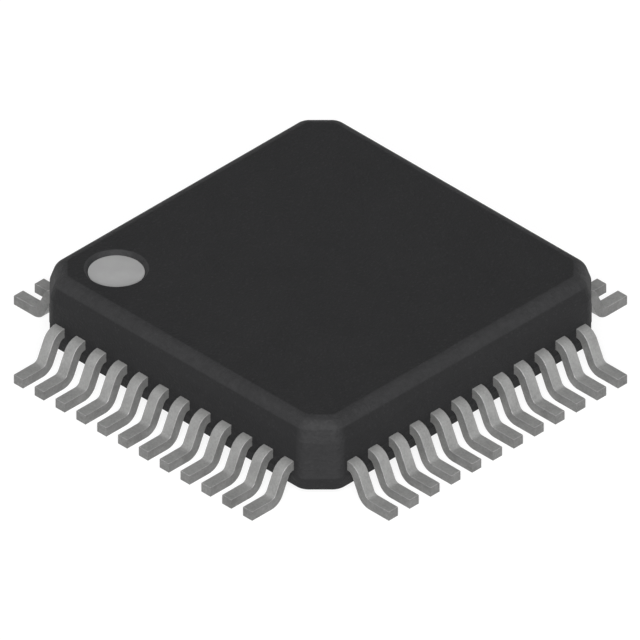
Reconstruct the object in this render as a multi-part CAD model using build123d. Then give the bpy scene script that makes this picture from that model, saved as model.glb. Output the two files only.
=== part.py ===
from build123d import *
from math import radians, sqrt, tan
import os

# Low-profile quad flat package with 48 gull-wing leads, in millimetres.
# The origin is at the plan centre, on the plane that the lead feet stand on.

# Row of leads along each side
LEADS_PER_SIDE = 12
LEAD_SPACING = 0.50         # from one lead's centre line to the next
CORNER_DISTANCE = 0.75      # from the last lead's centre line to the corner of the square

# Moulded body
STANDOFF = 0.15             # air below the body
BODY_THICKNESS = 1.428
CORNER_CHAMFER = 0.50
EDGE_RADIUS = 0.26          # upright corners and top edge
DRAFT_ANGLE = 17.3          # slope of the drafted bands, from upright
LOWER_BAND_HEIGHT = 0.28    # drafted band under the upright wall
UPPER_BAND_HEIGHT = 0.402   # drafted band and rounded edge over the upright wall

# Pin-one recess in the top
DOT_INSET = 1.05            # from the two nearest sides
DOT_RIM_RADIUS = 0.55
DOT_FLOOR_RADIUS = 0.487
DOT_DEPTH = 0.09
INK_THICKNESS = 0.015

# Ejector mark in the middle of the underside
EJECTOR_RADIUS = 0.75
EJECTOR_DEPTH = 0.03

# Leads outside the body
SHEET_THICKNESS = 0.19      # leads and die pad are cut from one sheet
LEAD_WIDTH = 0.22
LEAD_HEIGHT = 0.50          # from the underside of the body to the middle of the lead
LEAD_REACH = 1.00           # from the wall of the body to the tip of the foot
SHOULDER_LENGTH = 0.015     # straight part between the wall and the first bend
LEAD_SLOPE = 65.0           # from level
BEND_RADIUS = 0.11          # on the inside of each bend

# Leads inside the body
ANCHOR_LENGTH = 0.25        # full-width part behind the wall
TIP_WIDTH = 0.15
TIP_LENGTH = 0.20           # straight part that the wire is bonded to
TIP_GAP = 0.25              # from the die pad to the lead tips

# Die pad, die and the layer that holds it
DIE_SIZE = 2.80
DIE_THICKNESS = 0.28
ATTACH_THICKNESS = 0.025
ATTACH_MARGIN = 0.05
PAD_MARGIN = 0.30
DOWNSET = 0.20
TIE_BAR_WIDTH = 0.30
TIE_BAR_CLEARANCE = 0.05    # to the nearest lead tip
TIE_BAR_COVER = 0.15        # of moulding over the end of the bar
TIE_BAR_RUN = 0.45          # level part between the pad and the upward step
TIE_STEP_ANGLE = 45.0

# Bond wires
WIRE_DIAMETER = 0.03
WIRE_FACES = 5              # few faces keep the 48 wires light
BOND_EDGE_DISTANCE = 0.10   # from the edge of the die to the row of bonds
BOND_CORNER_DISTANCE = 0.30
LOOP_HEIGHT = 0.18          # over the die

# Sizes that follow
DIAGONAL = sqrt(2)          # of a square, over its side
ROW_LENGTH = (LEADS_PER_SIDE - 1) * LEAD_SPACING
BODY_SIZE = ROW_LENGTH + 2 * CORNER_DISTANCE
HALF_BODY = BODY_SIZE / 2
BODY_TOP = STANDOFF + BODY_THICKNESS
WALL_BOTTOM = STANDOFF + LOWER_BAND_HEIGHT
WALL_TOP = BODY_TOP - UPPER_BAND_HEIGHT
DOT_CENTRE = HALF_BODY - DOT_INSET

LEAD_LEVEL = STANDOFF + LEAD_HEIGHT
LEAD_TOP = LEAD_LEVEL + SHEET_THICKNESS / 2
TIP_SPAN = HALF_BODY + LEAD_REACH
MIDDLE_RADIUS = BEND_RADIUS + SHEET_THICKNESS / 2

PAD_SIZE = DIE_SIZE + 2 * PAD_MARGIN
PAD_LEVEL = LEAD_LEVEL - DOWNSET
PAD_TOP = PAD_LEVEL + SHEET_THICKNESS / 2
DIE_BOTTOM = PAD_TOP + ATTACH_THICKNESS
DIE_TOP = DIE_BOTTOM + DIE_THICKNESS

TIP_START = PAD_SIZE / 2 + TIP_GAP
TIP_ROW_HALF = TIP_START - DIAGONAL * (TIE_BAR_WIDTH / 2 + TIE_BAR_CLEARANCE)
TIP_PITCH = (2 * TIP_ROW_HALF - TIP_WIDTH) / (LEADS_PER_SIDE - 1)
BOND_ROW = DIE_SIZE / 2 - BOND_EDGE_DISTANCE
BOND_PITCH = (DIE_SIZE - 2 * BOND_CORNER_DISTANCE) / (LEADS_PER_SIDE - 1)


# Moulded body
def body_outline(level):
    """Square with chamfered corners, at a level."""
    square = Rectangle(BODY_SIZE, BODY_SIZE)
    outline = chamfer(square.vertices(), CORNER_CHAMFER)
    return Pos(0, 0, level) * outline


def is_level(edge):
    """True for an edge that lies in a level plane."""
    return abs(edge.tangent_at(0.5).Z) < 1e-6


def drafted_band(level, height, round_top):
    """Band that narrows upwards, with rounded corners and perhaps a rounded top edge."""
    band = extrude(body_outline(level), amount=height, taper=DRAFT_ANGLE)
    corners = band.edges().filter_by(lambda edge: not is_level(edge))
    top_edges = band.edges().filter_by(is_level).group_by(Axis.Z)[-1]
    return fillet(corners + top_edges if round_top else corners, EDGE_RADIUS)


def moulding():
    """Solid outer form of the package: two drafted bands and the upright wall between them."""
    upper = drafted_band(WALL_TOP, UPPER_BAND_HEIGHT, round_top=True)
    wall_outline = upper.faces().sort_by(Axis.Z)[0]
    wall = extrude(wall_outline, amount=WALL_TOP - WALL_BOTTOM, dir=(0, 0, -1))
    lower = drafted_band(-WALL_BOTTOM, LOWER_BAND_HEIGHT, round_top=False)
    lower = mirror(lower, about=Plane.XY)
    return upper + wall + lower


def pin_one_recess():
    """Round recess with a sloping wall, in the top face at the corner of lead 1."""
    recess = Cone(DOT_FLOOR_RADIUS, DOT_RIM_RADIUS, DOT_DEPTH)
    return Pos(-DOT_CENTRE, -DOT_CENTRE, BODY_TOP - DOT_DEPTH / 2) * recess


def ejector_mark():
    """Shallow round mark where the ejector pin pushed the package out of the mould."""
    return Pos(0, 0, STANDOFF + EJECTOR_DEPTH / 2) * Cylinder(EJECTOR_RADIUS, EJECTOR_DEPTH)


def mould_body(embedded):
    """The moulding, cast round everything that it holds."""
    return moulding() - pin_one_recess() - ejector_mark() - embedded


def pin_one_dot():
    """Ink disc on the floor of the pin-one recess."""
    level = BODY_TOP - DOT_DEPTH + INK_THICKNESS / 2
    return Pos(-DOT_CENTRE, -DOT_CENTRE, level) * Cylinder(DOT_FLOOR_RADIUS, INK_THICKNESS)


# Leads
def lead_strip():
    """Strip of sheet bent into the gull wing, as wide as the package, on the -Y side."""
    slope_run = LEAD_LEVEL - SHEET_THICKNESS / 2
    shoulder = HALF_BODY + SHOULDER_LENGTH + MIDDLE_RADIUS * tan(radians(LEAD_SLOPE / 2))
    heel = shoulder + slope_run / tan(radians(LEAD_SLOPE))
    middle_line = FilletPolyline(
        (-TIP_START, LEAD_LEVEL),
        (-shoulder, LEAD_LEVEL),
        (-heel, SHEET_THICKNESS / 2),
        (-TIP_SPAN, SHEET_THICKNESS / 2),
        radius=MIDDLE_RADIUS,
    )
    profile = Plane.YZ * trace(middle_line, SHEET_THICKNESS)
    return extrude(profile, amount=HALF_BODY, both=True)


def lead_blank(place):
    """Plan outline of one lead: straight outside, drawn in towards the die inside."""
    wall_x = place * LEAD_SPACING
    tip_x = place * TIP_PITCH
    wide = LEAD_WIDTH / 2
    narrow = TIP_WIDTH / 2
    anchor_end = -HALF_BODY + ANCHOR_LENGTH
    tip_end = -TIP_START - TIP_LENGTH
    outline = Polyline(
        (wall_x - wide, -TIP_SPAN),
        (wall_x + wide, -TIP_SPAN),
        (wall_x + wide, anchor_end),
        (tip_x + narrow, tip_end),
        (tip_x + narrow, -TIP_START),
        (tip_x - narrow, -TIP_START),
        (tip_x - narrow, tip_end),
        (wall_x - wide, anchor_end),
        close=True,
    )
    return extrude(make_face(outline), amount=LEAD_TOP)


def places():
    """Places along one side, counted from its middle in pitches."""
    return [index - (LEADS_PER_SIDE - 1) / 2 for index in range(LEADS_PER_SIDE)]


def side_leads():
    """The twelve leads of the -Y side."""
    strip = lead_strip()
    return [strip & lead_blank(place) for place in places()]


# Die pad, die attach and die
def tie_bar():
    """One tie bar along +X, from under the pad up to the level of the leads."""
    corner_reach = (BODY_SIZE - CORNER_CHAMFER) / DIAGONAL
    step_start = PAD_SIZE / DIAGONAL + TIE_BAR_RUN
    step_end = step_start + DOWNSET / tan(radians(TIE_STEP_ANGLE))
    middle_line = Polyline(
        (0, PAD_LEVEL),
        (step_start, PAD_LEVEL),
        (step_end, LEAD_LEVEL),
        (corner_reach - TIE_BAR_COVER, LEAD_LEVEL),
    )
    profile = Plane.XZ * trace(middle_line, SHEET_THICKNESS)
    return extrude(profile, amount=TIE_BAR_WIDTH / 2, both=True)


def die_pad():
    """Downset pad with a tie bar to each corner of the package."""
    pad = Pos(0, 0, PAD_LEVEL) * Box(PAD_SIZE, PAD_SIZE, SHEET_THICKNESS)
    bar = tie_bar()
    return pad + [Rot(0, 0, 45 + 90 * quarter) * bar for quarter in range(4)]


def die_attach():
    """Layer of filled epoxy between pad and die."""
    size = DIE_SIZE + 2 * ATTACH_MARGIN
    return Pos(0, 0, PAD_TOP + ATTACH_THICKNESS / 2) * Box(size, size, ATTACH_THICKNESS)


def silicon_die():
    """The chip."""
    return Pos(0, 0, DIE_BOTTOM + DIE_THICKNESS / 2) * Box(DIE_SIZE, DIE_SIZE, DIE_THICKNESS)


# Bond wires
def bond_wire(place, lead):
    """Wire from the die straight up to its bend, then down to the tip of one lead of the -Y side."""
    start = Vector(place * BOND_PITCH, -BOND_ROW, DIE_TOP)
    bend = start + Vector(0, 0, LOOP_HEIGHT)
    landing = Vector(place * TIP_PITCH, -TIP_START - TIP_LENGTH / 2, LEAD_TOP)
    end = landing + (landing - bend).normalized() * WIRE_DIAMETER
    section = Pos(start) * RegularPolygon(WIRE_DIAMETER / 2, WIRE_FACES)
    wire = sweep(section, path=Polyline(start, bend, end), transition=Transition.RIGHT)
    return wire - lead


def side_wires(leads):
    """The twelve bond wires of the -Y side."""
    return [bond_wire(place, lead) for place, lead in zip(places(), leads)]


# Assembly: the -Y side is repeated round the package, counter-clockwise from above
def quarter_turns(pieces):
    """One list of the pieces for each side."""
    return [[Rot(0, 0, 90 * side) * piece for piece in pieces] for side in range(4)]


leads_by_side = quarter_turns(side_leads())
wires_by_side = quarter_turns(side_wires(leads_by_side[0]))
chip = {
    "die_pad": die_pad(),
    "die_attach": die_attach(),
    "silicon_die": silicon_die(),
}
leads = sum(leads_by_side, [])
wires = sum(wires_by_side, [])

nodes = {"mould_body": mould_body(list(chip.values()) + leads + wires)}
nodes["pin_one_dot"] = pin_one_dot()
nodes.update(chip)
for number, lead in enumerate(leads, start=1):
    nodes[f"lead_{number:02d}"] = lead
for side, side_group in enumerate(wires_by_side):
    first = side * LEADS_PER_SIDE + 1
    last = first + LEADS_PER_SIDE - 1
    nodes[f"bond_wires_{first:02d}_{last:02d}"] = Compound(children=side_group)

os.makedirs("parts", exist_ok=True)
for name, shape in nodes.items():
    export_step(shape, f"parts/{name}.step")
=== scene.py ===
from math import atan2, cos, pi, radians, sin, tan

import bmesh
import bpy
from bpy.props import FloatProperty, FloatVectorProperty, IntProperty, PointerProperty
from bpy.types import Operator, Panel, PropertyGroup
from mathutils import Matrix, Vector


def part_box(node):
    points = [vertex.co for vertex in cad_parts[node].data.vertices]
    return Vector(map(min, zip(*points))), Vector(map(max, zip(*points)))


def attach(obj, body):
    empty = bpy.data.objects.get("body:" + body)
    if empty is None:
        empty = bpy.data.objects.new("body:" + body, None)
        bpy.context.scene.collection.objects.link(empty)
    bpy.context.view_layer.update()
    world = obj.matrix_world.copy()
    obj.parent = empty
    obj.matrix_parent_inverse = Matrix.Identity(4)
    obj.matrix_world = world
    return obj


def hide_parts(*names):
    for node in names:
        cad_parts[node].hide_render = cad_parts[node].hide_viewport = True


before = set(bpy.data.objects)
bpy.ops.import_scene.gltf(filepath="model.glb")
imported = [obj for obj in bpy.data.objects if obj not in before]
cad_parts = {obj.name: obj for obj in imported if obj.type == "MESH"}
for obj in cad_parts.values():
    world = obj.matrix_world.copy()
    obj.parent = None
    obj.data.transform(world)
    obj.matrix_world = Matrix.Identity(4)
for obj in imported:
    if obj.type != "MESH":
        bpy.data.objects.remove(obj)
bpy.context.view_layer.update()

bl_info = {
    "name": "Quad Flat Package",
    "version": (1, 0, 0),
    "blender": (4, 5, 0),
    "location": "3D View > Sidebar > Package",
    "description": "Builds a 48-lead low-profile quad flat package piece by piece",
    "category": "Add Mesh",
}

# Lengths are in metres.
MM = 0.001
SAME_PLACE = 1e-8  # vertices nearer to each other than this become one
SAME_LEVEL = 1e-7  # heights nearer to each other than this count as level
STAND_OFF = 0.5  # of the camera and the lamps from the package
SIDES = 4
WHITE = (1, 1, 1, 1)

# Places of the finishes in the lists of materials of a lead and of the die
TIN, SHEARED, COPPER, SILVER = range(4)
CIRCUITS, SAWN, PADS = range(3)

# Places that the frame gives
BODY_LOW, BODY_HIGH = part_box("mould_body")
FOOT_LOW, LEAD_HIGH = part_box("lead_01")
DOT_LOW, DOT_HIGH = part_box("pin_one_dot")
DIE_LOW, DIE_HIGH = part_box("silicon_die")

# Sizes of the leads that others follow from. The first lead's box ends at the side of its inner tip.
LEADS_PER_SIDE = 12
SHEET = 0.19 * MM
TIP_WIDTH = 0.15 * MM
TIP_PITCH = 2 * (TIP_WIDTH / 2 - LEAD_HIGH[0]) / (LEADS_PER_SIDE - 1)


def linear(hex_colour):
    """Linear red, green and blue of an sRGB hex colour."""
    parts = [int(hex_colour[i:i + 2], 16) / 255 for i in (1, 3, 5)]
    return [p / 12.92 if p <= 0.04045 else ((p + 0.055) / 1.055) ** 2.4 for p in parts]


def length(name, description, default):
    """Property that holds a length."""
    return FloatProperty(
        name=name, description=description, default=default, min=0, precision=6, unit="LENGTH"
    )


def angle(name, description, degrees):
    """Property that holds an angle."""
    return FloatProperty(name=name, description=description, default=radians(degrees), unit="ROTATION")


def colour(name, description, hex_colour):
    """Property that holds a colour."""
    return FloatVectorProperty(
        name=name,
        description=description,
        default=linear(hex_colour),
        subtype="COLOR",
        size=3,
        min=0,
        max=1,
    )


def amount(name, description, default):
    """Property that holds a plain number."""
    return FloatProperty(name=name, description=description, default=default, min=0)


# Sizes and colours that a user would change
class MouldSizes(PropertyGroup):
    width: length("Width", "Side of the square moulding", BODY_HIGH[0] - BODY_LOW[0])
    underside: length("Underside", "Height of the underside over the board", BODY_LOW[2])
    top: length("Top", "Height of the top face over the board", BODY_HIGH[2])
    wall_bottom: length("Wall bottom", "Height where the upright wall starts", 0.43 * MM)
    wall_top: length("Wall top", "Height where the upright wall ends", 1.176 * MM)
    draft: angle("Draft", "Slope of the bands over and under the wall", 17.3)
    chamfer: length("Chamfer", "Leg of the chamfer on each corner", 0.50 * MM)
    edge_radius: length("Edge radius", "Rounding of the top edge and the corners", 0.26 * MM)
    under_radius: length("Underside radius", "Fine rounding round the underside", 0.03 * MM)
    band_radius: length("Band radius", "Fine rounding where the bands meet the wall", 0.015 * MM)
    parting_ridge: length("Parting ridge", "How far the mould's parting line stands out", 0.006 * MM)
    parting_height: length("Parting height", "Height of the ridge of the parting line", 0.024 * MM)
    # Share of the painted highlight and of the rubbed gloss on the chamfers
    corner_wear_and_highlight: amount("Corner wear", "How rubbed the chamfers are, against the top edge", 0.7)


class DimpleSizes(PropertyGroup):
    centre: length("Centre", "From the package's middle planes", -(DOT_LOW[0] + DOT_HIGH[0]) / 2)
    rim_radius: length("Rim radius", "Radius at the top face", 0.55 * MM)
    floor_radius: length("Floor radius", "Radius at the floor", 0.487 * MM)
    depth: length("Depth", "Depth of the dimple", BODY_HIGH[2] - DOT_LOW[2])
    rounding: length("Rounding", "Rounding of the rim and of the floor's edge", 0.01 * MM)
    ink: length("Ink", "Thickness of the ink on the floor", DOT_HIGH[2] - DOT_LOW[2])
    ink_edge: length("Ink edge", "Rounding of the ink's edge", 0.006 * MM)
    ink_gap: length("Ink gap", "From the ink's edge to the edge of the floor", 0.002 * MM)


class EjectorSizes(PropertyGroup):
    radius: length("Radius", "Radius of the mark in the underside", 0.75 * MM)
    depth: length("Depth", "Depth of the mark", 0.03 * MM)
    rounding: length("Rounding", "Rounding of the mark's edge", 0.006 * MM)


class LeadSizes(PropertyGroup):
    per_side: IntProperty(
        name="Leads per side", description="Leads along each side", default=LEADS_PER_SIDE, min=1
    )
    pitch: length("Pitch", "From lead to lead along a side", 0.50 * MM)
    width: length("Width", "Width of a lead outside the moulding", 0.22 * MM)
    sheet: length("Sheet", "Thickness of the sheet", SHEET)
    level: length("Level", "Height of the middle of the lead in the wall", LEAD_HIGH[2] - SHEET / 2)
    toe: length("Toe", "From the package's middle to the tip of the foot", -FOOT_LOW[1])
    shoulder: length("Shoulder", "Straight part between wall and first bend", 0.015 * MM)
    slope: angle("Slope", "Slope between the bends, from level", 65)
    bend_radius: length("Bend radius", "On the inside of each bend", 0.11 * MM)
    anchor: length("Anchor", "Full-width part behind the wall", 0.25 * MM)
    inner_end: length("Inner end", "From the package's middle to the inner tip", -LEAD_HIGH[1])
    inner_width: length("Inner width", "Width of the inner tip", TIP_WIDTH)
    inner_pitch: length("Inner pitch", "From tip to tip inside the moulding", TIP_PITCH)
    inner_length: length("Inner length", "Straight part that the wire is bonded to", 0.20 * MM)
    punched_edge: length("Punched edge", "Rounding left by the punch", 0.010 * MM)
    burr_edge: length("Burr edge", "Rounding on the side that faced the die", 0.005 * MM)


class ChipSizes(PropertyGroup):
    bond_row: length("Bond row", "From the die's middle to a row of bonds", 1.30 * MM)
    bond_pitch: length("Bond pitch", "From bond to bond", 0.20 * MM)
    bond_pad: length("Bond pad", "Side of an aluminium pad", 0.09 * MM)
    pad_rise: length("Pad rise", "How far a pad stands over the circuits", 0.001 * MM)
    scribe_lane: length("Scribe lane", "Bare edge that the saw left round the die", 0.04 * MM)
    field_rise: length("Field rise", "How far the circuits stand over the die's edge", 0.004 * MM)
    ball: length("Ball", "Diameter of the ball bond", 0.07 * MM)
    ball_height: amount("Ball height", "Of the pressed ball, against its diameter", 0.45)
    wire: length("Wire", "Diameter of the gold wire", 0.03 * MM)
    loop: length("Loop", "Height of the wire over the die", 0.18 * MM)
    loop_radius: length("Loop radius", "Radius of the bend at the top of the loop", 0.05 * MM)
    stitch: length("Stitch", "Length of the stitch on the lead's tip", 0.06 * MM)
    stitch_width: amount("Stitch width", "At its end, against the wire's", 1.5)
    stitch_height: amount("Stitch height", "At its end, against the wire's", 0.3)


class Finishes(PropertyGroup):
    epoxy: colour("Epoxy", "Black of the mould compound", "#222223")
    epoxy_filler: colour("Filler", "Silica grains that show at the surface", "#353536")
    # The paler epoxy paints a highlight on the rubbed edges, the chamfers and the hollows.
    epoxy_rubbed_highlight: colour("Smooth epoxy", "Where it is rubbed or met a ground pin", "#313132")
    ink: colour("Ink", "Pale marking ink", "#9a9a9a")
    tin: colour("Tin", "Matt tin plate", "#aeaead")
    tin_dull: colour("Dull tin", "Tin in the hollows of its grain", "#989897")
    tin_sheared: colour("Sheared tin", "Tin on the sheared sides and the cut toe", "#8d8d8c")
    tin_sheared_dull: colour("Dull sheared tin", "Hollows of the sheared sides", "#787877")
    copper: colour("Copper", "Copper alloy of the leadframe", "#c58a6a")
    silver: colour("Silver", "Silver plate on the inner tips", "#d9d7d2")
    silver_epoxy: colour("Silver epoxy", "Die attach paste, cured", "#9b9a97")
    silicon: colour("Silicon", "Sawn side and field of the die", "#45464f")
    aluminium: colour("Aluminium", "Bond pads of the die", "#d5d6d8")
    gold: colour("Gold", "Bond wire", "#f2c25c")
    floor: colour("Floor", "Paper that the package stands on", "#ffffff")


class Studio(PropertyGroup):
    floor_radius: length("Floor radius", "Radius of the round floor", 1.0)
    backdrop_depth: length("Backdrop depth", "How far the white backdrop lies under the floor", 8 * MM)
    view_width: length("View width", "Width of the picture at the object", 10.862 * MM)
    view_height: length("View height", "Height that the camera looks at", 0.499 * MM)
    view_shift: length("View shift", "How far the camera stands to the left", 0.00815 * MM)
    azimuth: angle("Azimuth", "Of the camera, from the front", 45)
    elevation: angle("Elevation", "Of the camera", 35.264)
    key: amount("Key", "Irradiance of the main lamp", 4.6)
    key_azimuth: angle("Key azimuth", "Of the main lamp, from the front", 45)
    key_elevation: angle("Key elevation", "Of the main lamp", 36)
    key_size: angle("Key size", "Angle that the main lamp fills", 40)
    fill: amount("Fill", "Irradiance of each of the two lamps behind", 1.0)
    fill_azimuth: angle("Fill azimuth", "Of each fill lamp, from straight behind", 42)
    fill_elevation: angle("Fill elevation", "Of the fill lamps", 10)
    fill_size: angle("Fill size", "Angle that a fill lamp fills", 40)
    sky: amount("Sky", "Brightness of the even light all round", 0.08)
    paper_shade: amount("Paper shade", "Share of the light that the floor throws back", 0.18)
    paper_glow: amount("Paper glow", "Lift of the floor's colour to white, for the camera", 0.86)


GROUPS = {
    "mould": MouldSizes,
    "dimple": DimpleSizes,
    "ejector": EjectorSizes,
    "leads": LeadSizes,
    "chip": ChipSizes,
    "finishes": Finishes,
    "studio": Studio,
}


# Nodes and pieces
def add_node(tree, kind, inputs=None, **settings):
    """Node with its settings, and its inputs as values or links."""
    node = tree.nodes.new(kind)
    for name, value in settings.items():
        setattr(node, name, value)
    for socket, value in (inputs or {}).items():
        if isinstance(value, bpy.types.NodeSocket):
            tree.links.new(value, node.inputs[socket])
        else:
            node.inputs[socket].default_value = value
    return node


def rgba(value, shade=1):
    """Colour property as four numbers, made lighter or darker by a shade."""
    return (*(part * shade for part in value), 1)


def bare_material(name):
    """Material without nodes, and its node tree."""
    material = bpy.data.materials.new(name)
    material.use_nodes = True
    material.node_tree.nodes.clear()
    return material, material.node_tree


def patterned_material(name):
    """Material without a shader, its node tree and its place in millimetres."""
    material, tree = bare_material(name)
    place = add_node(tree, "ShaderNodeTexCoord").outputs["Object"]
    in_mm = add_node(tree, "ShaderNodeVectorMath", {0: place, "Scale": 1 / MM}, operation="SCALE")
    return material, tree, in_mm.outputs[0]


def wanted_material(name, make):
    """Material of a name, made when it is first wanted."""
    return bpy.data.materials.get(name) or make(name)


def shading_normals(bm, sharp):
    """Normal for each face corner: the mean by area of the faces round it, but not across a sharp edge.
    It keeps the flats flat where they run into a rounding."""
    normals = []
    for face in bm.faces:
        for vert in face.verts:
            near = [f for f in vert.link_faces if f.normal.dot(face.normal) > cos(radians(sharp))]
            mean = sum((f.normal * f.calc_area() / MM**2 for f in near), Vector())
            normals.append(mean.normalized())
    return normals


def finish_piece(bm, name, materials, stands_for, sharp=50):
    """Object of a mesh, at its place, shaded smooth but for its sharp edges."""
    bmesh.ops.remove_doubles(bm, verts=bm.verts, dist=SAME_PLACE)
    bmesh.ops.recalc_face_normals(bm, faces=bm.faces)
    for face in bm.faces:
        face.smooth = True
    normals = shading_normals(bm, sharp)
    mesh = bpy.data.meshes.new(name)
    bm.to_mesh(mesh)
    bm.free()
    mesh.normals_split_custom_set(normals)
    for material in materials:
        mesh.materials.append(material)
    piece = bpy.data.objects.new(name, mesh)
    bpy.context.scene.collection.objects.link(piece)
    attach(piece, "root")
    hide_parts(*stands_for)
    return piece


def quarter_turn(side):
    """Turn that takes the -Y side to a side, counter-clockwise from above."""
    return Matrix.Rotation(pi / 2 * side, 4, "Z")


def places(count):
    """Places along one side, counted from its middle in pitches."""
    return [index - (count - 1) / 2 for index in range(count)]


# Materials. Patterns are scaled in cells per millimetre.
def moulded_epoxy(name):
    """Transfer-moulded epoxy, black with carbon and filled with fused silica. The spark-eroded mould gives it
    an even matt grain, and grains of filler show as faint specks under the resin skin. Where its vertices are
    marked as rubbed, it is glossier, and its colour is painted paler there as a highlight."""
    finish = bpy.context.scene.package_finishes
    material, tree, place = patterned_material(name)
    # Grains of filler are 50 to 80 micrometres, and the part of them that shows is smaller.
    speck = add_node(tree, "ShaderNodeTexVoronoi", {"Vector": place, "Scale": 11, "Randomness": 1})
    speck_mask = add_node(
        tree,
        "ShaderNodeMapRange",
        {"Value": speck.outputs["Distance"], "From Min": 0.26, "From Max": 0.12, "To Min": 0, "To Max": 0.4},
    )
    field = add_node(
        tree,
        "ShaderNodeMix",
        {"Factor": speck_mask.outputs[0], "A": rgba(finish.epoxy), "B": rgba(finish.epoxy_filler)},
        data_type="RGBA",
    )
    # Rubbing takes the skin off in patches of about a tenth of a millimetre, and the painted highlight
    # follows the same patches.
    patchy = add_node(
        tree, "ShaderNodeTexNoise", {"Vector": place, "Scale": 9, "Detail": 5, "Roughness": 0.75}
    )
    patches = add_node(
        tree,
        "ShaderNodeMapRange",
        {"Value": patchy.outputs[0], "From Min": 0.35, "From Max": 0.65, "To Min": 0.5, "To Max": 1},
    )
    wear_and_highlight = add_node(tree, "ShaderNodeAttribute", attribute_name="wear_and_highlight")
    wear_and_highlight_share = add_node(
        tree, "ShaderNodeMath", {0: patches.outputs[0], 1: wear_and_highlight.outputs["Fac"]}, operation="MULTIPLY"
    )
    # Painted highlight: where marked, the colour is mixed towards a paler epoxy, which stands in for light on
    # the rubbed edges, the chamfers and the hollows.
    rubbed_and_highlighted = add_node(
        tree,
        "ShaderNodeMix",
        {"Factor": wear_and_highlight_share.outputs[0], "A": field.outputs["Result"], "B": rgba(finish.epoxy_rubbed_highlight)},
        data_type="RGBA",
    )
    # The compound's flow leaves faint clouds of about a millimetre.
    flow = add_node(
        tree, "ShaderNodeTexNoise", {"Vector": place, "Scale": 0.9, "Detail": 3, "Distortion": 0.6}
    )
    shade = add_node(
        tree,
        "ShaderNodeMapRange",
        {"Value": flow.outputs[0], "From Min": 0.3, "From Max": 0.7, "To Min": 0.94, "To Max": 1.06},
    )
    base = add_node(
        tree, "ShaderNodeHueSaturation", {"Value": shade.outputs[0], "Color": rubbed_and_highlighted.outputs["Result"]}
    )
    rough = add_node(tree, "ShaderNodeMapRange", {"Value": wear_and_highlight_share.outputs[0], "To Min": 0.74, "To Max": 0.64})
    # The mould's grain is about 20 micrometres, drawn at 60 so that it shows.
    grain = add_node(
        tree, "ShaderNodeTexNoise", {"Vector": place, "Scale": 16, "Detail": 3, "Roughness": 0.6}
    )
    relief = add_node(
        tree, "ShaderNodeBump", {"Height": grain.outputs[0], "Strength": 1, "Distance": 0.022 * MM}
    )
    shader = add_node(
        tree,
        "ShaderNodeBsdfPrincipled",
        {
            "Base Color": base.outputs[0],
            "Roughness": rough.outputs[0],
            "IOR": 1.5,
            "Specular IOR Level": 0.22,
            "Normal": relief.outputs[0],
        },
    )
    add_node(tree, "ShaderNodeOutputMaterial", {"Surface": shader.outputs[0]})
    return material


def printed_ink(name):
    """Pad-printed epoxy ink, pale grey, faintly uneven and nearly matt. It follows the grain under it."""
    finish = bpy.context.scene.package_finishes
    material, tree, place = patterned_material(name)
    # The ink is thicker and thinner in clouds of about 0.3 mm.
    cloud = add_node(tree, "ShaderNodeTexNoise", {"Vector": place, "Scale": 3.5, "Detail": 2})
    shade = add_node(
        tree,
        "ShaderNodeMapRange",
        {"Value": cloud.outputs[0], "From Min": 0.3, "From Max": 0.7, "To Min": 0.96, "To Max": 1.04},
    )
    base = add_node(tree, "ShaderNodeHueSaturation", {"Value": shade.outputs[0], "Color": rgba(finish.ink)})
    # The mould's grain of about 20 micrometres shows through, drawn at 55 so that it can be seen.
    grain = add_node(tree, "ShaderNodeTexNoise", {"Vector": place, "Scale": 18, "Detail": 3})
    relief = add_node(
        tree, "ShaderNodeBump", {"Height": grain.outputs[0], "Strength": 0.35, "Distance": 0.003 * MM}
    )
    shader = add_node(
        tree,
        "ShaderNodeBsdfPrincipled",
        {
            "Base Color": base.outputs[0],
            "Roughness": 0.75,
            "IOR": 1.5,
            "Specular IOR Level": 0.3,
            "Normal": relief.outputs[0],
        },
    )
    add_node(tree, "ShaderNodeOutputMaterial", {"Surface": shader.outputs[0]})
    return material


def matt_tin(name):
    """Electroplated matt tin over rolled copper alloy. Crystals of a few micrometres scatter the light, so it
    looks satin grey, with a faint mottle from lead to lead."""
    finish = bpy.context.scene.package_finishes
    return tin_plate(name, finish.tin, finish.tin_dull, roughness=0.6, depth=0.002 * MM)


def sheared_tin(name):
    """The same tin on the sides that the punch sheared and on the cut toe: rougher under the plate, so it
    looks duller."""
    finish = bpy.context.scene.package_finishes
    return tin_plate(name, finish.tin_sheared, finish.tin_sheared_dull, roughness=0.66, depth=0.004 * MM)


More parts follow.
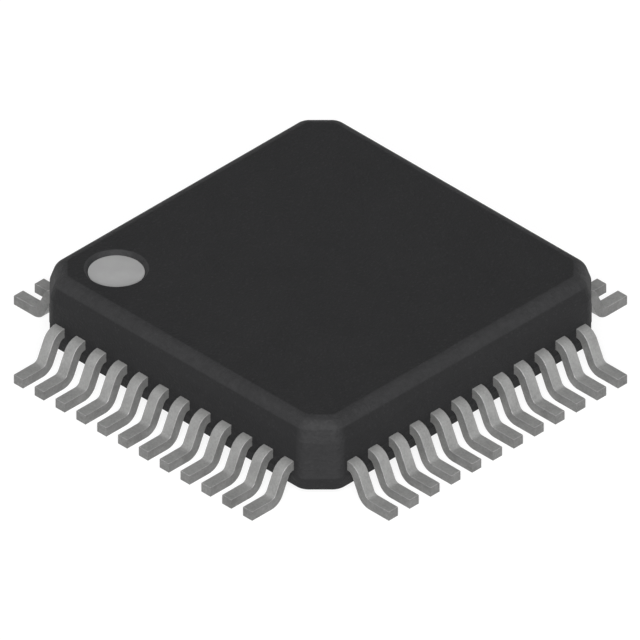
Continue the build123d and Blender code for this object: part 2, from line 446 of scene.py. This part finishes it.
def tin_plate(name, bright, dull, roughness, depth):
    """Tin of two tones, mottled by its grain. The plate is metallic only in part, because its fine crystals
    scatter light more evenly than a metal shader does."""
    material, tree, place = patterned_material(name)
    # The real crystals are 2 to 8 micrometres, drawn at 40 so that they show.
    grain = add_node(
        tree, "ShaderNodeTexNoise", {"Vector": place, "Scale": 25, "Detail": 4, "Roughness": 0.65}
    )
    # The bath plates unevenly, which shows as a mottle of about 0.3 mm.
    mottle = add_node(tree, "ShaderNodeTexNoise", {"Vector": place, "Scale": 3, "Detail": 2})
    both = add_node(tree, "ShaderNodeMath", {0: grain.outputs[0], 1: mottle.outputs[0]}, operation="ADD")
    spread = {"Value": both.outputs[0], "From Min": 0.75, "From Max": 1.25}
    share = add_node(tree, "ShaderNodeMapRange", spread)
    base = add_node(
        tree,
        "ShaderNodeMix",
        {"Factor": share.outputs[0], "A": rgba(dull), "B": rgba(bright)},
        data_type="RGBA",
    )
    rough = add_node(
        tree,
        "ShaderNodeMapRange",
        {**spread, "To Min": roughness + 0.05, "To Max": roughness - 0.05},
    )
    relief = add_node(
        tree, "ShaderNodeBump", {"Height": grain.outputs[0], "Strength": 0.5, "Distance": depth}
    )
    shader = add_node(
        tree,
        "ShaderNodeBsdfPrincipled",
        {
            "Base Color": base.outputs["Result"],
            "Metallic": 0.6,
            "Roughness": rough.outputs[0],
            "Normal": relief.outputs[0],
        },
    )
    add_node(tree, "ShaderNodeOutputMaterial", {"Surface": shader.outputs[0]})
    return material


def plain_metal(name, value, roughness, grains, depth):
    """Metal of one colour, with so many grains to the millimetre."""
    material, tree, place = patterned_material(name)
    grain = add_node(tree, "ShaderNodeTexNoise", {"Vector": place, "Scale": grains, "Detail": 3})
    spread = {"Value": grain.outputs[0], "From Min": 0.3, "From Max": 0.7}
    shade = add_node(tree, "ShaderNodeMapRange", {**spread, "To Min": 0.92, "To Max": 1.06})
    base = add_node(tree, "ShaderNodeHueSaturation", {"Value": shade.outputs[0], "Color": rgba(value)})
    rough = add_node(
        tree,
        "ShaderNodeMapRange",
        {**spread, "To Min": roughness + 0.06, "To Max": roughness - 0.06},
    )
    relief = add_node(
        tree, "ShaderNodeBump", {"Height": grain.outputs[0], "Strength": 0.4, "Distance": depth}
    )
    shader = add_node(
        tree,
        "ShaderNodeBsdfPrincipled",
        {
            "Base Color": base.outputs[0],
            "Metallic": 1,
            "Roughness": rough.outputs[0],
            "Normal": relief.outputs[0],
        },
    )
    add_node(tree, "ShaderNodeOutputMaterial", {"Surface": shader.outputs[0]})
    return material


def rolled_copper(name):
    """Rolled copper alloy, bare where the mould covers it: warm and satin, with a fine grain."""
    value = bpy.context.scene.package_finishes.copper
    return plain_metal(name, value, roughness=0.38, grains=20, depth=0.002 * MM)


def spot_silver(name):
    """Spot-plated silver on the inner tips: pale and smooth, so that gold bonds to it."""
    value = bpy.context.scene.package_finishes.silver
    return plain_metal(name, value, roughness=0.30, grains=30, depth=0.001 * MM)


def bond_aluminium(name):
    """Sputtered aluminium of the bond pads: bright and almost flat."""
    value = bpy.context.scene.package_finishes.aluminium
    return plain_metal(name, value, roughness=0.28, grains=40, depth=0.0005 * MM)


def drawn_gold(name):
    """Drawn gold wire: bright, with the faint grain that the drawing die leaves."""
    value = bpy.context.scene.package_finishes.gold
    return plain_metal(name, value, roughness=0.22, grains=60, depth=0.0004 * MM)


def sawn_silicon(name):
    """Silicon as the dicing saw leaves it: dark grey with a metallic sheen and a fine matt grain."""
    value = bpy.context.scene.package_finishes.silicon
    return plain_metal(name, value, roughness=0.5, grains=50, depth=0.001 * MM)


def cured_silver_epoxy(name):
    """Cured silver-filled epoxy: dull grey paste full of small flakes."""
    finish = bpy.context.scene.package_finishes
    material, tree, place = patterned_material(name)
    # Flakes are up to 10 micrometres, drawn at 20 so that they show.
    flakes = add_node(tree, "ShaderNodeTexVoronoi", {"Vector": place, "Scale": 45})
    distance = flakes.outputs["Distance"]
    shade = add_node(tree, "ShaderNodeMapRange", {"Value": distance, "To Min": 1.15, "To Max": 0.8})
    base = add_node(
        tree, "ShaderNodeHueSaturation", {"Value": shade.outputs[0], "Color": rgba(finish.silver_epoxy)}
    )
    relief = add_node(
        tree, "ShaderNodeBump", {"Height": distance, "Strength": 0.5, "Distance": 0.003 * MM}
    )
    shader = add_node(
        tree,
        "ShaderNodeBsdfPrincipled",
        {
            "Base Color": base.outputs[0],
            "Metallic": 0.6,
            "Roughness": 0.6,
            "Normal": relief.outputs[0],
        },
    )
    add_node(tree, "ShaderNodeOutputMaterial", {"Surface": shader.outputs[0]})
    return material


def patterned_silicon(name):
    """Polished silicon under its oxide and wiring: dark and glossy, with rows of cells as a fine even
    weave."""
    finish = bpy.context.scene.package_finishes
    material, tree, place = patterned_material(name)
    # Rows of logic cells are about 4 micrometres high, drawn at 25 so that they show.
    rows = add_node(
        tree,
        "ShaderNodeTexBrick",
        {
            "Vector": place,
            "Color1": rgba(finish.silicon, 1.25),
            "Color2": rgba(finish.silicon, 0.8),
            "Mortar": rgba(finish.silicon, 0.5),
            "Scale": 10,
            "Mortar Size": 0.02,
        },
    )
    relief = add_node(
        tree, "ShaderNodeBump", {"Height": rows.outputs["Fac"], "Strength": 0.2, "Distance": 0.001 * MM}
    )
    shader = add_node(
        tree,
        "ShaderNodeBsdfPrincipled",
        {
            "Base Color": rows.outputs[0],
            "Metallic": 0.5,
            "Roughness": 0.25,
            "Normal": relief.outputs[0],
        },
    )
    add_node(tree, "ShaderNodeOutputMaterial", {"Surface": shader.outputs[0]})
    return material


# Steps that several meshes share
def at_level(parts, level, slack=SAME_LEVEL):
    """Faces or edges that lie in a level plane, or off it by less than a slack."""
    return [part for part in parts if all(abs(v.co.z - level) < slack for v in part.verts)]


def climbing_edges(bm):
    """Edges whose ends are at two levels."""
    return [e for e in bm.edges if abs(e.verts[0].co.z - e.verts[1].co.z) > SAME_LEVEL]


def round_off(bm, geom, offset, segments, affect="EDGES"):
    """Bevel edges, or the corners of a wire, to a rounding, or with one segment to a flat."""
    return bmesh.ops.bevel(
        bm, geom=geom, offset=offset, segments=segments, profile=0.5, affect=affect, material=-1
    )


def push_on(bm, section, step):
    """Extrude a section by a step and return the new section."""
    made = bmesh.ops.extrude_face_region(bm, geom=section)
    verts = [g for g in made["geom"] if isinstance(g, bmesh.types.BMVert)]
    bmesh.ops.translate(bm, verts=verts, vec=step)
    return [g for g in made["geom"] if isinstance(g, bmesh.types.BMFace)]


def bend(bm, section, centre, turn, axis=(1, 0, 0), steps=8):
    """Spin a section about a level axis and return the new section."""
    made = bmesh.ops.spin(bm, geom=section, cent=centre, axis=axis, angle=turn, steps=steps)
    return [g for g in made["geom_last"] if isinstance(g, bmesh.types.BMFace)]


def drop_crossings(bm):
    """Delete the faces that extrusions left inside a piece."""
    crossing = [f for f in bm.faces if all(len(e.link_faces) > 2 for e in f.edges)]
    bmesh.ops.delete(bm, geom=crossing, context="FACES_ONLY")


def spin_round(bm, run, centre, rounding, steps=72):
    """Spin a run of distances and heights once round an upright axis, with its inner corners rounded."""
    verts = [bm.verts.new(centre + Vector((distance, 0, height))) for distance, height in run]
    for pair in zip(verts, verts[1:]):
        bm.edges.new(pair)
    round_off(bm, verts[1:-1], rounding, segments=4, affect="VERTICES")
    profile = [e for e in bm.edges if e.is_wire]
    bmesh.ops.spin(
        bm, geom=profile, cent=centre, axis=(0, 0, 1), angle=2 * pi, steps=steps, use_merge=True
    )
    bmesh.ops.remove_doubles(bm, verts=bm.verts, dist=SAME_PLACE)


# Moulding. An attribute of the vertices says how far rubbing or a ground pin has made the epoxy glossier, and
# how far a highlight is painted on it in a paler colour.
def mark_edge_wear_and_highlight(bm, made):
    """Note the vertices inside a new rounding as rubbed: glossier, and painted paler as a highlight, as where
    the rounding turns to the light.
    """
    wear_and_highlight = bm.verts.layers.float["wear_and_highlight"]
    rounding = set(made["faces"])
    for vert in made["verts"]:
        if rounding.issuperset(vert.link_faces):
            vert[wear_and_highlight] = 1


def mark_corner_wear_and_highlight(bm, share):
    """Note the chamfers of the corners, which trays and grippers hold, as rubbed by a share, which also
    paints a highlight on them, as on faces turned to the light. It fades over the roundings beside them and
    leaves out the band that draws back under the wall, which faces down into shade."""
    wear_and_highlight = bm.verts.layers.float["wear_and_highlight"]
    bm.normal_update()
    for vert in bm.verts:
        across = vert.normal.xy
        on_side = across.length > 0.9
        faces_down = vert.normal.z < -0.1
        # Faces turned down get no painted highlight; it grows towards the chamfer's diagonal.
        if on_side and not faces_down:
            diagonal = 2 * abs(across.x * across.y) / across.length_squared
            vert[wear_and_highlight] = max(vert[wear_and_highlight], share * diagonal)


def moulding_mesh(mould):
    """Moulding without its marks: wall, drafted bands, chamfered corners and rounded edges."""
    bm = bmesh.new()
    bm.verts.layers.float.new("wear_and_highlight")
    tall = mould.wall_top - mould.wall_bottom
    middle = Matrix.Translation((0, 0, mould.wall_bottom + tall / 2))
    bmesh.ops.create_cube(bm, matrix=middle @ Matrix.Diagonal((mould.width, mould.width, tall, 1)))
    round_off(bm, climbing_edges(bm), mould.chamfer, segments=1)
    for level, height in ((mould.wall_top, mould.top), (mould.wall_bottom, mould.underside)):
        rise = abs(height - level)
        bmesh.ops.inset_region(
            bm,
            faces=at_level(bm.faces, level),
            thickness=rise * tan(mould.draft),
            depth=rise,
            use_even_offset=True,
            use_boundary=True,
        )
    # The corners turn by an eighth of a circle. They come first, and the top edge runs round over them.
    round_off(bm, climbing_edges(bm), mould.edge_radius * tan(pi / 8), segments=8)
    reach = mould.edge_radius * tan((pi / 2 - mould.draft) / 2)
    top_edge = round_off(bm, at_level(bm.edges, mould.top), reach, segments=10)
    # The top edge's rounding gets a painted highlight besides its rubbed gloss.
    mark_edge_wear_and_highlight(bm, top_edge)
    round_off(bm, at_level(bm.edges, mould.underside), mould.under_radius, segments=3)
    # Where the corners are rounded, the rings round the wall run up to 0.0025 mm off their level.
    for level in (mould.wall_bottom, mould.wall_top):
        round_off(bm, at_level(bm.edges, level, slack=0.003 * MM), mould.band_radius, segments=2)
    # The chamfers get a painted highlight with their rubbed gloss.
    mark_corner_wear_and_highlight(bm, mould.corner_wear_and_highlight)
    return bm


def set_in_face(bm, level, run, centre, rounding):
    """Cut the face at a level open round a hollow that is spun about its own axis. A ground pin of the mould
    made the hollow, so it is smoother than the face, and the hollow is also painted paler as a highlight, as
    where its far wall catches the light."""
    before = set(bm.verts)
    cap = at_level(bm.faces, level)
    way = cap[0].normal.copy()
    bmesh.ops.delete(bm, geom=cap, context="FACES_ONLY")
    outer = [e for e in at_level(bm.edges, level) if e.is_boundary]
    spin_round(bm, run, centre, rounding)
    inner = [e for e in at_level(bm.edges, level) if e.is_boundary and e not in outer]
    bmesh.ops.triangle_fill(bm, use_beauty=True, edges=outer + inner, normal=way)
    # Painted highlight: the hollow's vertices are marked in full.
    wear_and_highlight = bm.verts.layers.float["wear_and_highlight"]
    for vert in set(bm.verts) - before:
        if abs(vert.co.z - level) > SAME_LEVEL:
            vert[wear_and_highlight] = 1


def dimple_axis(dimple):
    """Point on the upright axis of the dimple, at the level of the board."""
    return Vector((-dimple.centre, -dimple.centre, 0))


def add_dimple(bm, mould, dimple):
    """Pin-one dimple in the top face."""
    floor = mould.top - dimple.depth
    run = [
        (dimple.rim_radius + 2 * dimple.rounding, mould.top),
        (dimple.rim_radius, mould.top),
        (dimple.floor_radius, floor),
        (0, floor),
    ]
    set_in_face(bm, mould.top, run, dimple_axis(dimple), dimple.rounding)


def add_ejector_mark(bm, mould, ejector):
    """Round mark that the ejector pin left in the middle of the underside."""
    floor = mould.underside + ejector.depth
    run = [
        (ejector.radius + 2 * ejector.rounding, mould.underside),
        (ejector.radius, mould.underside),
        (ejector.radius, floor),
        (0, floor),
    ]
    set_in_face(bm, mould.underside, run, Vector(), ejector.rounding)


def add_parting_line(bm, mould, level):
    """Fine ridge where the two halves of the mould met, at a level."""
    for step in (-1, 0, 1):
        bmesh.ops.bisect_plane(
            bm,
            geom=bm.verts[:] + bm.edges[:] + bm.faces[:],
            plane_co=(0, 0, level + step * mould.parting_height / 2),
            plane_no=(0, 0, 1),
            dist=SAME_PLACE,
        )
    ridge = {v for e in at_level(bm.edges, level) for v in e.verts}
    grow = 1 + 2 * mould.parting_ridge / mould.width
    bmesh.ops.scale(bm, vec=(grow, grow, 1), verts=list(ridge))


class PACKAGE_OT_moulding(Operator):
    """Build the moulded body, with its rounded edges, pin-one dimple, ejector mark and parting line"""

    bl_idname = "package.moulding"
    bl_label = "Moulding"

    def execute(self, context):
        scene = context.scene
        mould = scene.package_mould
        bm = moulding_mesh(mould)
        add_dimple(bm, mould, scene.package_dimple)
        add_ejector_mark(bm, mould, scene.package_ejector)
        add_parting_line(bm, mould, scene.package_leads.level)
        epoxy = wanted_material("moulded_epoxy_compound", moulded_epoxy)
        finish_piece(bm, "moulding", [epoxy], ["mould_body"])
        return {"FINISHED"}


class PACKAGE_OT_pin_one_ink(Operator):
    """Print the pale ink disc on the floor of the pin-one dimple"""

    bl_idname = "package.pin_one_ink"
    bl_label = "Pin-one ink"

    def execute(self, context):
        dimple = context.scene.package_dimple
        radius = dimple.floor_radius - dimple.ink_gap
        floor = context.scene.package_mould.top - dimple.depth
        top = floor + dimple.ink
        bm = bmesh.new()
        run = [(0, floor), (radius, floor), (radius, top), (0, top)]
        spin_round(bm, run, dimple_axis(dimple), dimple.ink_edge)
        ink = wanted_material("printed_marking_ink", printed_ink)
        finish_piece(bm, "pin_one_ink", [ink], ["pin_one_dot"])
        return {"FINISHED"}


# Leads
def sheared_section(bm, leads, centre):
    """Cross-section of a lead at its toe, facing outwards."""
    turn = Matrix.Rotation(pi / 2, 4, "X")
    scale = Matrix.Diagonal((leads.width, leads.sheet, 1, 1))
    made = bmesh.ops.create_grid(
        bm, x_segments=1, y_segments=1, size=0.5, matrix=Matrix.Translation(centre) @ turn @ scale
    )
    return made["verts"][0].link_faces[:]


def on_broad_face(normal):
    """Whether a normal is that of the strip's top or underside, and not that of a side or an end."""
    return abs(normal.x) < 0.5 and abs(normal.y) < 0.95


def along_lead(bm, top):
    """Sharp edges of the top or of the underside of the strip."""
    chosen = []
    for edge in bm.edges:
        if len(edge.link_faces) != 2 or edge.calc_face_angle(0) < radians(60):
            continue
        broad = [f.normal for f in edge.link_faces if on_broad_face(f.normal)]
        if broad and (broad[0].z > 0) == top:
            chosen.append(edge)
    return chosen


def lead_finish(face, leads, wall):
    """Place of a face's finish in the lead's list: tin, sheared tin, bare copper or silver."""
    y = face.calc_center_median().y
    if y > -leads.inner_end - leads.inner_length:
        return SILVER
    if y > -wall:
        return COPPER
    on_side = abs(face.normal.x) > 0.9
    # The part of the toe's roundings that faces forward goes with the toe.
    on_toe = y < -leads.toe + leads.burr_edge / 10
    return SHEARED if on_side or on_toe else TIN


def lead_mesh(leads, place, wall):
    """One lead of the -Y side: foot, two bends, shoulder, anchor and the drawn-in tip inside the moulding."""
    bm = bmesh.new()
    half = leads.sheet / 2
    middle = leads.bend_radius + half
    reach = middle * tan(leads.slope / 2)
    shoulder = wall + leads.shoulder + reach
    heel = shoulder + (leads.level - half) / tan(leads.slope)
    x = place * leads.pitch
    section = sheared_section(bm, leads, Vector((x, -leads.toe, half)))
    section = push_on(bm, section, Vector((0, leads.toe - heel - reach, 0)))
    section = bend(bm, section, Vector((x, -heel - reach, half + middle)), leads.slope)
    in_bend = Vector((0, cos(leads.slope), sin(leads.slope))) * reach
    start = Vector((0, -heel, half)) + in_bend
    stop = Vector((0, -shoulder, leads.level)) - in_bend
    section = push_on(bm, section, stop - start)
    section = bend(bm, section, Vector((x, -shoulder + reach, leads.level - middle)), -leads.slope)
    section = push_on(bm, section, Vector((0, leads.shoulder, 0)))
    section = push_on(bm, section, Vector((0, leads.anchor, 0)))
    tip = place * leads.inner_pitch
    neck = leads.inner_end + leads.inner_length
    section = push_on(bm, section, Vector((tip - x, wall - leads.anchor - neck, 0)))
    bmesh.ops.scale(
        bm,
        vec=(leads.inner_width / leads.width, 1, 1),
        space=Matrix.Translation((-tip, 0, 0)),
        verts=section[0].verts[:],
    )
    push_on(bm, section, Vector((0, leads.inner_length, 0)))
    drop_crossings(bm)
    bmesh.ops.recalc_face_normals(bm, faces=bm.faces)
    round_off(bm, along_lead(bm, top=True), leads.punched_edge, segments=2)
    round_off(bm, along_lead(bm, top=False), leads.burr_edge, segments=2)
    for face in bm.faces:
        face.material_index = lead_finish(face, leads, wall)
    return bm


class PACKAGE_OT_leads(Operator):
    """Stamp and form the leads of all four sides"""

    bl_idname = "package.leads"
    bl_label = "Leads"

    def execute(self, context):
        leads = context.scene.package_leads
        wall = context.scene.package_mould.width / 2
        finishes = [
            wanted_material("matt_tin_plate", matt_tin),
            wanted_material("matt_tin_on_sheared_edge", sheared_tin),
            wanted_material("rolled_copper_alloy", rolled_copper),
            wanted_material("spot_silver_plate", spot_silver),
        ]
        number = 0
        for side in range(SIDES):
            for place in places(leads.per_side):
                number += 1
                bm = lead_mesh(leads, place, wall)
                bmesh.ops.transform(bm, matrix=quarter_turn(side), verts=bm.verts)
                name = f"formed_lead_{number:02d}"
                finish_piece(bm, name, finishes, [f"lead_{number:02d}"])
        return {"FINISHED"}


# Inside of the moulding
class PACKAGE_OT_die_support(Operator):
    """Give the die pad and the die attach their finishes"""

    bl_idname = "package.die_support"
    bl_label = "Die pad and die attach"

    def execute(self, context):
        finishes = {
            "die_pad": wanted_material("rolled_copper_alloy", rolled_copper),
            "die_attach": wanted_material("cured_silver_epoxy", cured_silver_epoxy),
        }
        for name, material in finishes.items():
            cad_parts[name].material_slots[0].material = material
        return {"FINISHED"}


def add_bond_pad(bm, chip, place, side):
    """Aluminium pad of a side, which reaches as far into the die as it stands over it."""
    spot = Vector((place * chip.bond_pitch, -chip.bond_row, DIE_HIGH[2] + chip.pad_rise))
    made = bmesh.ops.create_grid(
        bm,
        x_segments=1,
        y_segments=1,
        size=chip.bond_pad / 2,
        matrix=quarter_turn(side) @ Matrix.Translation(spot),
    )
    top = made["verts"][0].link_faces[:]
    underside = push_on(bm, top, Vector((0, 0, -2 * chip.pad_rise)))
    top_and_sides = {face for vert in made["verts"] for face in vert.link_faces}
    for face in (*underside, *top_and_sides):
        face.material_index = PADS


def die_mesh(chip, per_side):
    """Sawn die: bare scribe lane, the raised field of circuits and a row of bond pads along each side."""
    bm = bmesh.new()
    low, high = Vector(DIE_LOW), Vector(DIE_HIGH)
    size = Matrix.Diagonal((*(high - low), 1))
    bmesh.ops.create_cube(bm, matrix=Matrix.Translation((low + high) / 2) @ size)
    field = at_level(bm.faces, high.z)
    lane = bmesh.ops.inset_region(bm, faces=field, thickness=chip.scribe_lane, use_even_offset=True)
    rim = {vert for face in lane["faces"] for vert in face.verts} - set(field[0].verts)
    bmesh.ops.translate(bm, verts=list(rim), vec=(0, 0, -chip.field_rise))
    for face in bm.faces:
        face.material_index = CIRCUITS if face in field else SAWN
    for side in range(SIDES):
        for place in places(per_side):
            add_bond_pad(bm, chip, place, side)
    return bm


class PACKAGE_OT_die(Operator):
    """Build the silicon die with its bond pads"""

    bl_idname = "package.die"
    bl_label = "Die"

    def execute(self, context):
        finishes = [
            wanted_material("circuits_on_silicon", patterned_silicon),
            wanted_material("sawn_silicon", sawn_silicon),
            wanted_material("sputtered_aluminium", bond_aluminium),
        ]
        bm = die_mesh(context.scene.package_chip, context.scene.package_leads.per_side)
        finish_piece(bm, "sawn_die", finishes, ["silicon_die"], sharp=30)
        return {"FINISHED"}


def add_wire(bm, chip, leads, place):
    """Gold wire of the -Y side: ball on the die, loop, and stitch on the tip of the lead."""
    foot = Vector((place * chip.bond_pitch, -chip.bond_row, DIE_HIGH[2]))
    peak = foot + Vector((0, 0, chip.loop))
    level = leads.level + leads.sheet / 2
    landing = Vector((place * leads.inner_pitch, -leads.inner_end - leads.inner_length / 2, level))
    down = (landing - peak).normalized()
    flat = Vector((down.x, down.y, 0)).normalized()
    turn = pi / 2 + atan2(-down.z, down.xy.length)
    reach = chip.loop_radius * tan(turn / 2)
    pressed = Matrix.Translation(foot) @ Matrix.Diagonal((1, 1, chip.ball_height, 1))
    bmesh.ops.create_uvsphere(bm, u_segments=12, v_segments=8, radius=chip.ball / 2, matrix=pressed)
    made = bmesh.ops.create_circle(
        bm, cap_ends=True, segments=8, radius=chip.wire / 2, matrix=Matrix.Translation(foot)
    )
    section = made["verts"][0].link_faces[:]
    section = push_on(bm, section, Vector((0, 0, chip.loop - reach)))
    centre = peak - Vector((0, 0, reach)) + flat * chip.loop_radius
    section = bend(bm, section, centre, turn, axis=Vector((-flat.y, flat.x, 0)), steps=7)
    section = push_on(bm, section, landing - peak - down * reach)
    tail = flat * chip.stitch
    end = push_on(bm, section, tail)
    bmesh.ops.scale(
        bm,
        vec=(chip.stitch_width, chip.stitch_width, chip.stitch_height),
        space=Matrix.Translation(-landing - tail),
        verts=end[0].verts[:],
    )


class PACKAGE_OT_wires(Operator):
    """Bond the gold wires, one group for each side"""

    bl_idname = "package.wires"
    bl_label = "Bond wires"

    def execute(self, context):
        leads = context.scene.package_leads
        gold = wanted_material("drawn_gold_wire", drawn_gold)
        for side in range(SIDES):
            bm = bmesh.new()
            for place in places(leads.per_side):
                add_wire(bm, context.scene.package_chip, leads, place)
            drop_crossings(bm)
            bmesh.ops.transform(bm, matrix=quarter_turn(side), verts=bm.verts)
            first = side * leads.per_side + 1
            group = f"{first:02d}_{first + leads.per_side - 1:02d}"
            finish_piece(bm, f"gold_wires_{group}", [gold], [f"bond_wires_{group}"], sharp=60)
        return {"FINISHED"}


# Stage
def white_paper(name):
    """Matt paper that throws little light up under the package. The camera, reflections and glass see it
    lifted to white, so that it needs no more light."""
    scene = bpy.context.scene
    studio = scene.package_studio
    white = scene.package_finishes.floor
    material, tree = bare_material(name)
    paper = add_node(tree, "ShaderNodeBsdfDiffuse", {"Color": rgba(white, studio.paper_shade)})
    path = add_node(tree, "ShaderNodeLightPath")
    seen = add_node(
        tree,
        "ShaderNodeMath",
        {0: path.outputs["Is Camera Ray"], 1: path.outputs["Is Glossy Ray"]},
        operation="MAXIMUM",
    )
    seen = add_node(
        tree,
        "ShaderNodeMath",
        {0: seen.outputs[0], 1: path.outputs["Is Transmission Ray"]},
        operation="MAXIMUM",
    )
    lift = add_node(tree, "ShaderNodeMath", {0: seen.outputs[0], 1: studio.paper_glow}, operation="MULTIPLY")
    glow = add_node(tree, "ShaderNodeEmission", {"Color": rgba(white), "Strength": lift.outputs[0]})
    both = add_node(tree, "ShaderNodeAddShader", {0: paper.outputs[0], 1: glow.outputs[0]})
    add_node(tree, "ShaderNodeOutputMaterial", {"Surface": both.outputs[0]})
    return material


def white_backdrop(name):
    """Plain white that lights nothing but the floor's underside. A view from near the floor's level sees it
    past the floor's edge."""
    material, tree = bare_material(name)
    glow = add_node(tree, "ShaderNodeEmission", {"Color": WHITE, "Strength": 1})
    add_node(tree, "ShaderNodeOutputMaterial", {"Surface": glow.outputs[0]})
    return material


def lay_disc(scene, name, radius, level, material):
    """Round sheet of the stage, at a level."""
    bm = bmesh.new()
    bmesh.ops.create_circle(
        bm, cap_ends=True, segments=64, radius=radius, matrix=Matrix.Translation((0, 0, level))
    )
    mesh = bpy.data.meshes.new(name)
    bm.to_mesh(mesh)
    bm.free()
    mesh.materials.append(material)
    disc = bpy.data.objects.new(name, mesh)
    scene.collection.objects.link(disc)


def direction(azimuth, elevation):
    """Unit vector from the object towards a camera or lamp."""
    return Vector((sin(azimuth) * cos(elevation), -cos(azimuth) * cos(elevation), sin(elevation)))


def aimed(towards):
    """Turn that makes a camera or lamp look back along a direction."""
    return towards.to_track_quat("Z", "Y").to_matrix().to_4x4()


def hang_lamp(scene, name, strength, size, towards):
    """Broad lamp of the studio, shining on the object from one direction."""
    lamp = bpy.data.lights.new(name, "SUN")
    lamp.energy = strength
    lamp.angle = size
    holder = bpy.data.objects.new(name, lamp)
    holder.matrix_world = Matrix.Translation(towards * STAND_OFF) @ aimed(towards)
    scene.collection.objects.link(holder)


def light_evenly(scene, strength):
    """Weak even light all round."""
    world = bpy.data.worlds.new("even_light")
    world.use_nodes = True
    world.node_tree.nodes.clear()
    sky = add_node(world.node_tree, "ShaderNodeBackground", {"Color": WHITE, "Strength": strength})
    add_node(world.node_tree, "ShaderNodeOutputWorld", {"Surface": sky.outputs[0]})
    scene.world = world


def set_up_camera(scene, studio):
    """Camera of the photograph: parallel projection, looking down on the corner between +X and -Y."""
    lens = bpy.data.cameras.new("camera")
    lens.type = "ORTHO"
    lens.ortho_scale = studio.view_width
    lens.clip_start = STAND_OFF / 50
    lens.clip_end = STAND_OFF * 20
    camera = bpy.data.objects.new("camera", lens)
    towards = direction(studio.azimuth, studio.elevation)
    turn = aimed(towards)
    aim = Vector((0, 0, studio.view_height)) - turn.col[0].to_3d() * studio.view_shift
    camera.matrix_world = Matrix.Translation(aim + towards * STAND_OFF) @ turn
    scene.collection.objects.link(camera)
    scene.camera = camera


class PACKAGE_OT_stage(Operator):
    """Lay the floor and the backdrop, hang the lamps and set up the camera"""

    bl_idname = "package.stage"
    bl_label = "Stage"

    def execute(self, context):
        scene = context.scene
        studio = scene.package_studio
        lay_disc(scene, "floor", studio.floor_radius, 0, white_paper("white_paper"))
        backdrop = white_backdrop("white_backdrop")
        lay_disc(scene, "backdrop", studio.floor_radius, -studio.backdrop_depth, backdrop)
        towards = direction(studio.key_azimuth, studio.key_elevation)
        hang_lamp(scene, "key", studio.key, studio.key_size, towards)
        for side in (-1, 1):
            azimuth = studio.key_azimuth + pi + side * studio.fill_azimuth
            towards = direction(azimuth, studio.fill_elevation)
            hang_lamp(scene, f"fill_{side}", studio.fill, studio.fill_size, towards)
        light_evenly(scene, studio.sky)
        set_up_camera(scene, studio)
        scene.view_settings.view_transform = "Standard"
        return {"FINISHED"}


STEPS = (
    PACKAGE_OT_moulding,
    PACKAGE_OT_pin_one_ink,
    PACKAGE_OT_leads,
    PACKAGE_OT_die_support,
    PACKAGE_OT_die,
    PACKAGE_OT_wires,
    PACKAGE_OT_stage,
)


class PACKAGE_PT_panel(Panel):
    """Pieces of the package, in the order in which they are made"""

    bl_label = "Quad Flat Package"
    bl_idname = "PACKAGE_PT_panel"
    bl_space_type = "VIEW_3D"
    bl_region_type = "UI"
    bl_category = "Package"

    def draw(self, context):
        for step in STEPS:
            self.layout.operator(step.bl_idname)


CLASSES = (*GROUPS.values(), *STEPS, PACKAGE_PT_panel)


def register():
    """Register the classes, and hang each group of sizes on the scene."""
    for item in CLASSES:
        bpy.utils.register_class(item)
    for name, group in GROUPS.items():
        setattr(bpy.types.Scene, f"package_{name}", PointerProperty(type=group))


def unregister():
    """Take the groups off the scene, and the classes out."""
    for name in GROUPS:
        delattr(bpy.types.Scene, f"package_{name}")
    for item in reversed(CLASSES):
        bpy.utils.unregister_class(item)


def main():
    """Make all the pieces and the stage."""
    register()
    for step in STEPS:
        group, action = step.bl_idname.split(".")
        getattr(getattr(bpy.ops, group), action)()


if __name__ == "__main__":
    main()
